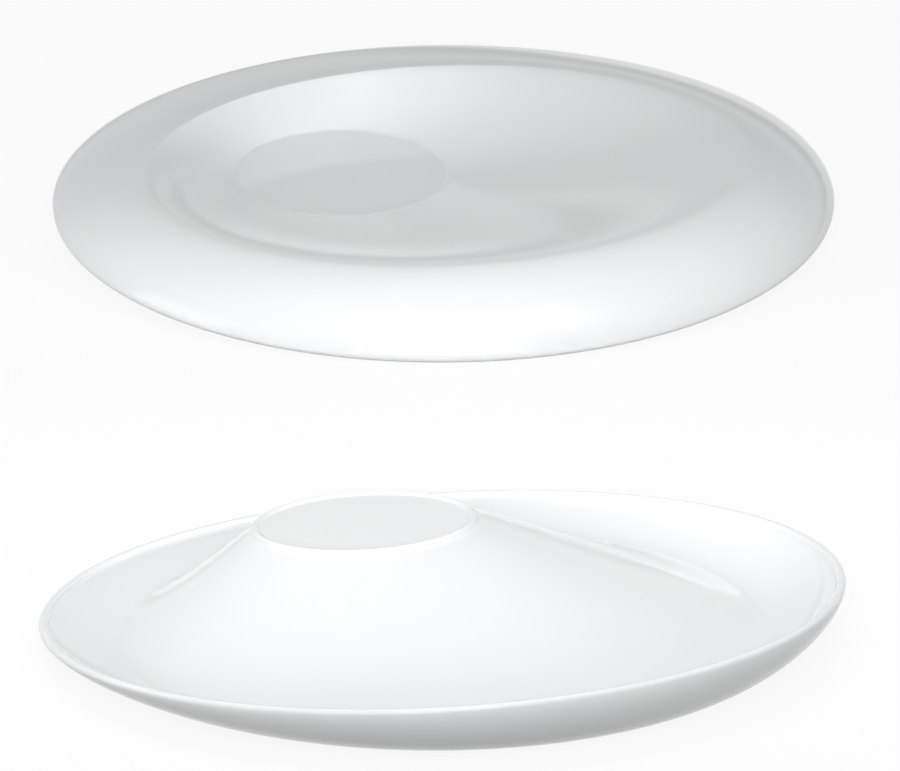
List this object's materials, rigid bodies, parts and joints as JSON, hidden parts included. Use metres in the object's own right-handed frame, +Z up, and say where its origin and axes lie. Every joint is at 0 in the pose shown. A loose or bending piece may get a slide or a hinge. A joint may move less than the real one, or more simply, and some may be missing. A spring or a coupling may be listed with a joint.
{
  "type": "risotto plate pair",
  "caption": "Round deep porcelain plate with an off-centre volcano mound, shown upright and turned over behind it.",
  "frame": {"origin": "middle of the pair's footprint, on the table plane that both plates rest on", "axes": "+Z up from the table, +Y from the upright plate in front to the upturned plate behind it, +X to the right seen from the front"},
  "size_m": [0.3012, 0.769, 0.0343],
  "materials": {
    "glazed_porcelain": "white porcelain under a clear gloss glaze, with a ground unglazed foot ring"
  },
  "bodies": {
    "upright": {"upright_plate": "glazed_porcelain"},
    "upturned": {"upturned_plate": "glazed_porcelain"}
  },
  "joints": [
    {"name": "upturned_lift", "type": "slide", "parent": "upright", "child": "upturned", "axis": [0, 0, 1], "range_m": [0, 0.15]}
  ]
}
